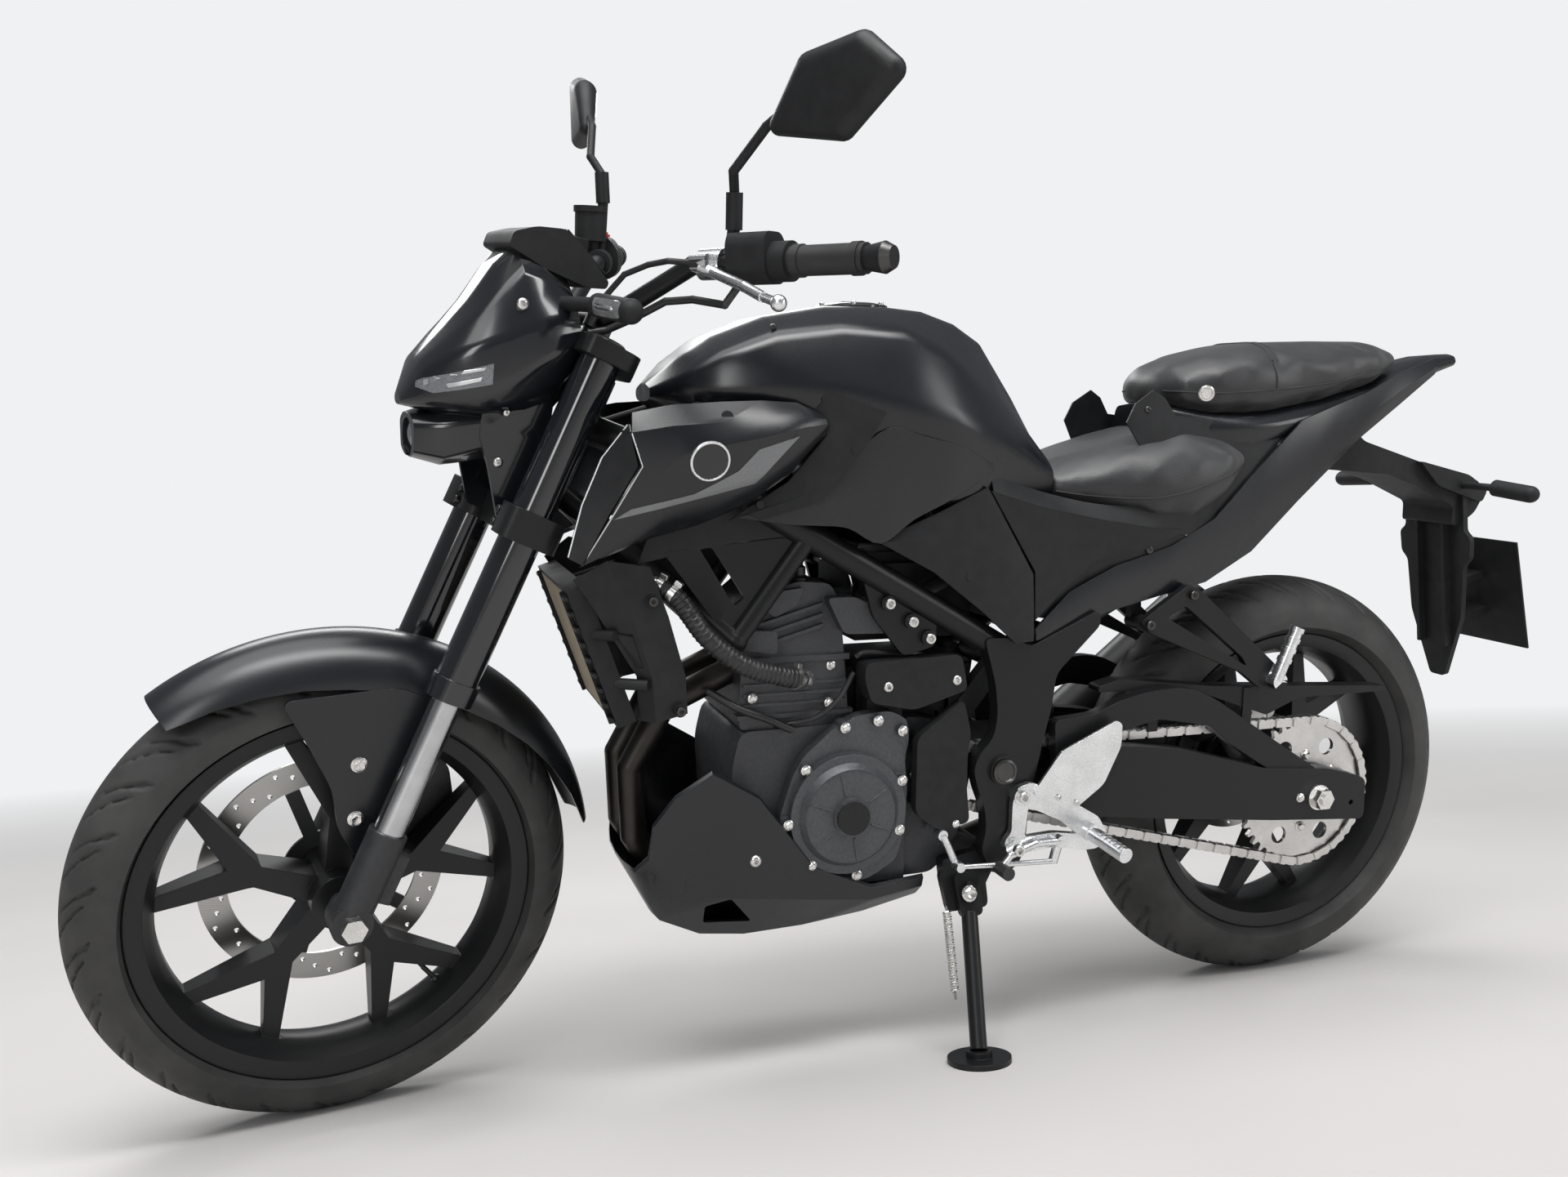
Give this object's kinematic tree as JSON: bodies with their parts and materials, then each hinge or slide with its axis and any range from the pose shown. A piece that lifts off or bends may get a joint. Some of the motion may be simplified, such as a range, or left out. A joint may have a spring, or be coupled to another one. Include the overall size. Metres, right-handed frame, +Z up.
{
  "type": "standard motorcycle",
  "caption": "Unfaired road motorcycle with a tube frame, upright twin engine, chain drive, cast wheels and two-piece seat, leaning on its side stand.",
  "frame": {"origin": "middle of the leaning machine's box, on the floor", "axes": "+X towards the front wheel, +Y towards the machine's left, +Z up; the machine leans 12.5 degrees to its left"},
  "size_m": [2.0917, 0.856, 1.4007],
  "materials": {
    "satin_black_paint": "satin",
    "gloss_black_paint": "gloss",
    "frame_black": "satin",
    "dark_resin": "matte",
    "engine_grey": "satin",
    "bright_alloy": "satin",
    "steel": "brushed",
    "chrome_tube": "polished",
    "tyre_rubber": "matte",
    "hose_rubber": "satin",
    "seat_cover": "grained",
    "red_lens": "gloss",
    "clear_lens": "gloss"
  },
  "bodies": {
    "chassis": {"main_frame": "frame_black", "pivot_plates": "frame_black", "seat_rails": "frame_black", "engine_cases": "engine_grey", "cylinder_head": "engine_grey", "engine_covers": "engine_grey", "sprocket_cover": "dark_resin", "radiator": "dark_resin", "radiator_shrouds": "dark_resin", "coolant_hose": "hose_rubber", "exhaust": "frame_black", "belly_pan": "satin_black_paint", "fuel_tank": "satin_black_paint", "tank_scoops": "satin_black_paint", "scoop_intakes": "dark_resin", "side_covers": "dark_resin", "rider_seat": "seat_cover", "passenger_seat": "seat_cover", "tail_cowl": "satin_black_paint", "tail_lamp": "red_lens", "plate_hanger": "dark_resin", "swingarm": "frame_black", "chain": "steel", "rear_shock": "frame_black", "rear_caliper": "dark_resin", "foot_hangers": "bright_alloy", "passenger_hangers": "frame_black"},
    "steering": {"triple_clamps": "frame_black", "fork_outers": "gloss_black_paint", "fork_inners": "chrome_tube", "handlebar": "frame_black", "controls": "dark_resin", "mirrors": "dark_resin", "front_lamps": "clear_lens", "nose_cowl": "gloss_black_paint", "front_fender": "satin_black_paint", "front_caliper": "dark_resin"},
    "front_wheel": {"front_rim": "frame_black", "front_tyre": "tyre_rubber", "front_disc": "steel"},
    "rear_wheel": {"rear_rim": "frame_black", "rear_tyre": "tyre_rubber", "rear_sprocket": "steel", "rear_disc": "steel"},
    "side_stand": {"side_stand": "frame_black"}
  },
  "joints": [
    {"name": "steering_turn", "type": "hinge", "parent": "chassis", "child": "steering", "pos_m": [0.46446, -0.06782, 0.81438], "axis": [-0.4204, 0.1962, 0.8859], "range_deg": [-46, 22]},
    {"name": "front_wheel_spin", "type": "hinge", "parent": "steering", "child": "front_wheel", "pos_m": [0.75715, -0.17755, 0.28223], "axis": [-0.1892, 0.9359, -0.297], "continuous": true},
    {"name": "rear_wheel_spin", "type": "hinge", "parent": "chassis", "child": "rear_wheel", "pos_m": [-0.62203, -0.18064, 0.30822], "axis": [-0.0005, 0.9763, -0.2164], "continuous": true},
    {"name": "stand_swing", "type": "hinge", "parent": "chassis", "child": "side_stand", "pos_m": [-0.04428, -0.06692, 0.20986], "axis": [0.0006, 0.9724, 0.2334], "range_deg": [0, 92]}
  ]
}
